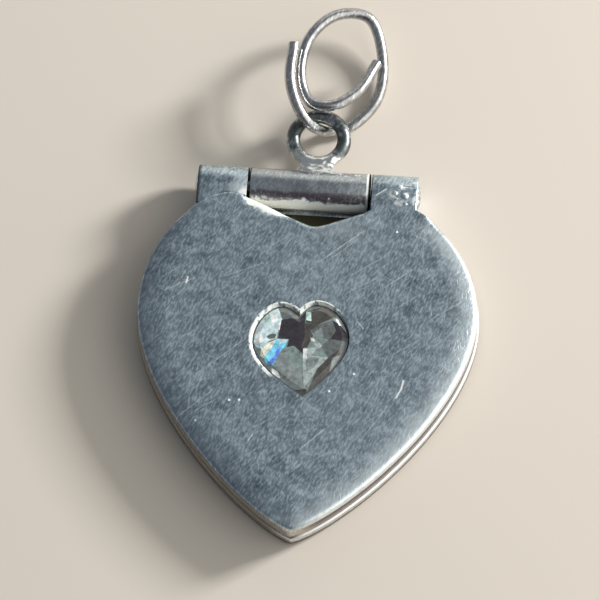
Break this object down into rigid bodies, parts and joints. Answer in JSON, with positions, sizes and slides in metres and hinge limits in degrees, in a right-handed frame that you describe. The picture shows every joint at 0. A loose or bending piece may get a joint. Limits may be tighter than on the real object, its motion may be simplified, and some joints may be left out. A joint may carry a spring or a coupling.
{
  "type": "heart locket pendant",
  "caption": "Hinged heart-shaped silver locket with a faceted heart stone set in its front cover, a soldered bail loop and a sprung-open split ring.",
  "frame": {"origin": "centre of the heart on the flat outside of the back cover", "axes": "+Z out of the front cover, +Y from the tip towards the hinge and the bail loop, +X to the right when the front cover is seen with the bail up"},
  "size_m": [0.0244, 0.0407, 0.0042],
  "materials": {
    "satin_silver": "worn satin, finely scratched",
    "polished_silver": "polished",
    "darkened_silver": "lightly tarnished",
    "clear_sheet": "clear and smooth",
    "cut_stone": "clear, cut in facets and polished"
  },
  "bodies": {
    "back_cover": {"back_plate": "satin_silver", "back_wall": "polished_silver", "bearer": "satin_silver", "middle_knuckle": "polished_silver", "bail_loop": "darkened_silver", "picture_window": "clear_sheet", "picture_frame": "polished_silver"},
    "front_cover": {"front_plate": "satin_silver", "front_wall": "satin_silver", "left_knuckle": "satin_silver", "right_knuckle": "satin_silver", "hinge_pin": "darkened_silver", "stone_bezel": "polished_silver", "heart_stone": "cut_stone"},
    "ring": {"split_ring": "polished_silver"}
  },
  "joints": [
    {"name": "cover_hinge", "type": "hinge", "parent": "back_cover", "child": "front_cover", "pos_m": [0, 0.0138, 0.00165], "axis": [-1, 0, 0], "range_deg": [0, 120]},
    {"name": "ring_swing", "type": "hinge", "parent": "back_cover", "child": "ring", "pos_m": [-0.0002, 0.01913, 0.00095], "axis": [0.9659, 0.2588, 0], "range_deg": [0, 50]}
  ]
}
